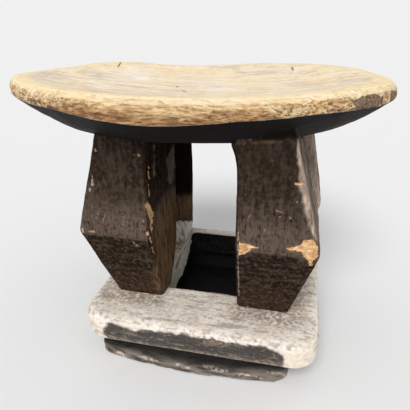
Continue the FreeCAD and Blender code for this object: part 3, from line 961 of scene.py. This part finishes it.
def leg_wood():
    material, tree, shader, place = new_material("leg wood", 0.55, 0.0)
    upright = upright_place(tree, place)
    drawn = place_group(tree, GRAIN, {"Place": upright, "Length": 22.0, "Width": 3.4, "Wander": 1.8})
    broad = place_group(tree, GRAIN, {"Place": upright, "Length": 55.0, "Width": 14.0, "Wander": 2.4})
    level = place_group(tree, GRAIN, {"Place": place, "Length": 20.0, "Width": 4.0, "Wander": 1.2})
    spots = place_group(tree, MOTTLE, {"Place": place, "Size": 17.0})
    grit = place_group(tree, MOTTLE, {"Place": place, "Size": 3.4})
    worn = place_group(tree, WEAR, {"Place": place, "Edge": mask_of(tree, "edge"), "Amount": 0.34, "Size": 4.0})
    below = mask_of(tree, "below")
    tone = blend(tree, between(tree, broad["Streaks"], 0.36, 0.64), PATINA_DARK, PATINA_BROWN)
    tone = tinted(tree, tone, between(tree, spots["Blotches"], 0.46, 0.62), 0.7, PATINA_OLIVE)
    tone = tinted(tree, tone, between(tree, drawn["Streaks"], 0.46, 0.64), 0.7, PATINA_GREY)
    # Paler pink above the knee: partly rubbed wood, partly painted light
    rubbed_and_lit = product(tree, mask_of(tree, "knee_rub_and_light"), between(tree, drawn["Fibres"], 0.3, 0.6))
    tone = tinted(tree, tone, rubbed_and_lit, 0.72, PATINA_PINK)
    grained = blend(tree, between(tree, level["Streaks"], 0.42, 0.66), PATINA_DARK, PATINA_BROWN)
    tone = tinted(tree, tone, below, 0.85, grained)
    foot = product(tree, mask_of(tree, "foot"), between(tree, level["Fibres"], 0.36, 0.62))
    tone = tinted(tree, tone, foot, 0.75, PATINA_RED)
    tone = tinted(tree, tone, between(tree, grit["Blotches"], 0.48, 0.66), 0.6, PATINA_GREY)
    tone = tinted(tree, tone, between(tree, grit["Blotches"], 0.52, 0.32), 0.6, PATINA_DARK)
    # Painted shade toward the tops of the legs, under the seat
    tone = tinted(tree, tone, mask_of(tree, "upper"), 0.58, PATINA_DARK)
    scuffed = product(tree, mask_of(tree, "outside"), between(tree, drawn["Streaks"], 0.4, 0.6))
    tone = tinted(tree, tone, scuffed, 0.4, OUTSIDE_GREY)
    # Painted shade on the faces turned in between the legs
    tone = tinted(tree, tone, mask_of(tree, "inside"), 0.95, INSIDE_SHADE)
    streaky = blend(tree, between(tree, drawn["Streaks"], 0.4, 0.62), OUTSIDE_GREY, SCRATCH_PALE)
    streaky = tinted(tree, streaky, between(tree, drawn["Fibres"], 0.52, 0.64), 0.7, PATINA_BROWN)
    # Grey wood, with painted light and sheen where the faces turn to the right
    tone = tinted(tree, tone, mask_of(tree, "grey"), 0.9, streaky)
    warm = blend(tree, between(tree, drawn["Streaks"], 0.4, 0.6), TAN_BROWN, PATINA_BROWN)
    warm = tinted(tree, warm, between(tree, drawn["Fibres"], 0.5, 0.62), 0.6, OCHRE)
    tone = tinted(tree, tone, mask_of(tree, "tan"), 0.9, warm)
    tone = tinted(tree, tone, mask_of(tree, "hollow"), 0.7, PATINA_DARK)
    tone = tinted(tree, tone, worn["Worn"], 0.5, PATINA_PINK)
    broken = between(tree, grit["Blotches"], 0.4, 0.56)
    tone = blend(tree, product(tree, mask_of(tree, "pale"), product(tree, broken, 0.85)), tone, SCRATCH_PALE)
    # Painted shade: black at the top of the front right leg, under the seat
    tone = blend(tree, mask_of(tree, "seat_shade"), tone, DARK_WOOD_AND_SHADE)
    stained = blend(tree, between(tree, drawn["Streaks"], 0.44, 0.66), LIT_WALL_AND_PALE_WOOD, BASE_GREY)
    tone = blend(tree, mask_of(tree, "like base"), tone, stained)
    bare_tone = blend(tree, between(tree, level["Fibres"], 0.38, 0.62), BARE_ORANGE, BARE_PALE)
    bare_tone = tinted(tree, bare_tone, between(tree, grit["Blotches"], 0.52, 0.62), 0.6, RIM_ORANGE)
    bare_tone = tinted(tree, bare_tone, between(tree, grit["Blotches"], 0.46, 0.36), 0.6, RIM_LEMON)
    ragged = maths(tree, "ADD", mask_of(tree, "bare"), product(tree, grit["Blotches"], 1.8))
    chipped = between(tree, ragged, 1.25, 1.5)
    tone = blend(tree, chipped, tone, bare_tone)
    tree.links.new(tone, shader.inputs["Base Color"])
    height = maths(tree, "ADD", drawn["Fibres"], product(tree, level["Fibres"], 0.5))
    raised(tree, shader, maths(tree, "ADD", height, product(tree, grit["Blotches"], 0.8)), 0.4)
    return material


def slab_wood():
    material, tree, shader, place = new_material("slab wood", 0.65, 0.15)
    base = base_wood(tree, place)
    # Painted shade around the legs' feet
    shade = product(tree, mask_of(tree, "shade"), between(tree, base["Blotches"], 0.3, 0.6))
    tone = tinted(tree, base["Tone"], shade, 0.75, BASE_BROWN)
    bluish = product(tree, mask_of(tree, "bevel"), between(tree, base["Blotches"], 0.42, 0.58))
    tone = tinted(tree, tone, bluish, 0.7, BASE_MAUVE)
    tone = tinted(tree, tone, mask_of(tree, "white"), 0.7, BASE_PALE)
    # Dark colour for the stain on the slab's sides and for painted shade on its downward faces
    stain_and_shade = blend(tree, between(tree, base["Fibres"], 0.5, 0.68), BASE_DARK, BASE_SHADE)
    stain_and_shade = tinted(tree, stain_and_shade, between(tree, base["Streaks"], 0.52, 0.66), 0.6, BASE_BROWN)
    stain_and_shade = tinted(tree, stain_and_shade, between(tree, base["Blotches"], 0.56, 0.66), 0.5, LOW_BROWN)
    under = blend(tree, between(tree, base["Blotches"], 0.44, 0.58), BASE_SHADE, LOW_BROWN)
    stain_and_shade = tinted(tree, stain_and_shade, mask_of(tree, "lowest"), 0.9, under)
    # Painted shade on the slab's downward faces
    tone = blend(tree, mask_of(tree, "belly"), tone, stain_and_shade)
    uneven = maths(tree, "ADD", base["Blotches"], product(tree, base["Streaks"], 0.8))
    patch = between(tree, maths(tree, "ADD", mask_of(tree, "dark"), uneven), 1.05, 1.75)
    tone = tinted(tree, tone, patch, 0.95, stain_and_shade)
    corner = blend(tree, between(tree, base["Fibres"], 0.4, 0.7), BASE_PALE, RIM_LEMON)
    tone = tinted(tree, tone, mask_of(tree, "bare"), 0.5, corner)
    # Painted shade: the walls of the well are near black
    well_shade = blend(tree, between(tree, base["Blotches"], 0.45, 0.65), SHADE_BLACK, WELL_SHADE_DARK)
    tone = blend(tree, mask_of(tree, "inner"), tone, well_shade)
    # Painted light on the lit strip of the well's left wall
    tone = tinted(tree, tone, mask_of(tree, "lit"), 0.8, LIT_WALL_AND_PALE_WOOD)
    tone = tinted(tree, tone, mask_of(tree, "streak"), 0.8, BASE_BROWN)
    tree.links.new(tone, shader.inputs["Base Color"])
    raised(tree, shader, maths(tree, "ADD", base["Fibres"], product(tree, base["Blotches"], 0.8)), 0.6)
    return material


def foot_wood():
    material, tree, shader, place = new_material("foot wood", 0.7, 0.1)
    base = base_wood(tree, place)
    tone = blend(tree, 0.85, base["Tone"], FOOT_GREY)
    tone = tinted(tree, tone, between(tree, base["Blotches"], 0.48, 0.62), 0.6, BASE_BROWN)
    tone = tinted(tree, tone, between(tree, base["Streaks"], 0.45, 0.64), 0.7, BASE_DARK)
    specked = product(tree, mask_of(tree, "pale"), between(tree, base["Blotches"], 0.4, 0.56))
    tone = tinted(tree, tone, specked, 0.7, BASE_BEIGE)
    # Painted shadow under the slab
    tone = tinted(tree, tone, mask_of(tree, "recess_shadow"), 0.95, SHADE_BLACK)
    # Painted shade: the walls of the well through the foot are black
    tone = blend(tree, mask_of(tree, "inner"), tone, SHADE_BLACK)
    tree.links.new(tone, shader.inputs["Base Color"])
    raised(tree, shader, maths(tree, "ADD", base["Fibres"], product(tree, base["Blotches"], 0.6)), 0.5)
    return material


shape_seat(seat_wood())
legs = leg_wood()
for number, node in enumerate(("leg_front_left", "leg_front_right", "leg_back_left", "leg_back_right")):
    shape_leg(node, legs, 300 + 100 * number)
shape_slab(slab_wood())
shape_foot(foot_wood())


# Camera

def set_camera():
    data = bpy.data.cameras.new("camera")
    data.sensor_width = 36.0
    data.lens = FOCAL_PIXELS / FRAME_PIXELS * data.sensor_width
    data.clip_start = 0.01
    data.clip_end = 20.0
    camera = bpy.data.objects.new("camera", data)
    bpy.context.collection.objects.link(camera)
    turn = Matrix((RIGHT, UP, -AHEAD)).transposed().to_4x4()
    camera.matrix_world = Matrix.Translation(Vector(EYE) * MM) @ turn
    bpy.context.scene.camera = camera


# Floor and light. The floor reaches 40 m each way, so that no edge of it shows.
FLOOR_REACH = 40
FLOOR_GREY = 0.815
ROOM_LIGHT, ROOM_SEEN = 0.60, 0.875
LAMP_DIRECTION = (-0.05, -0.88, 0.98)
LAMP_STRENGTH, LAMP_SPREAD = 2.0, 28


def pale_floor():
    mesh = bpy.data.meshes.new("floor")
    spots = [(x * FLOOR_REACH, y * FLOOR_REACH, 0) for x, y in ((-1, -1), (1, -1), (1, 1), (-1, 1))]
    mesh.from_pydata(spots, [], [(0, 1, 2, 3)])
    floor = bpy.data.objects.new("floor", mesh)
    bpy.context.collection.objects.link(floor)
    material, _, shader, _ = new_material("pale floor", 0.9, 0.0)
    shader.inputs["Base Color"].default_value = (FLOOR_GREY, FLOOR_GREY, FLOOR_GREY, 1)
    mesh.materials.append(material)


def room_light():
    """Even white light from all round, and a brighter white where the camera sees it."""
    world = bpy.data.worlds.new("room")
    bpy.context.scene.world = world
    world.use_nodes = True
    tree = world.node_tree
    sky = tree.nodes["Background"]
    path = add(tree, "ShaderNodeLightPath").outputs
    seen = maths(tree, "ADD", path["Is Camera Ray"], path["Is Glossy Ray"])
    seen = maths(tree, "ADD", seen, path["Is Transmission Ray"], clamp=True)
    sky.inputs["Color"].default_value = (1, 1, 1, 1)
    strength = add(tree, "ShaderNodeMapRange", {"Value": seen, "To Min": ROOM_LIGHT, "To Max": ROOM_SEEN})
    tree.links.new(strength.outputs[0], sky.inputs["Strength"])


def sun(name, direction, strength, spread):
    """A soft far lamp. direction points from the object to the lamp."""
    data = bpy.data.lights.new(name, "SUN")
    data.energy = strength
    data.angle = math.radians(spread)
    light = bpy.data.objects.new(name, data)
    bpy.context.collection.objects.link(light)
    light.rotation_euler = Vector(direction).to_track_quat("Z", "Y").to_euler()


set_camera()
pale_floor()
room_light()
sun("key lamp", LAMP_DIRECTION, LAMP_STRENGTH, LAMP_SPREAD)
bpy.context.scene.view_settings.view_transform = "Standard"
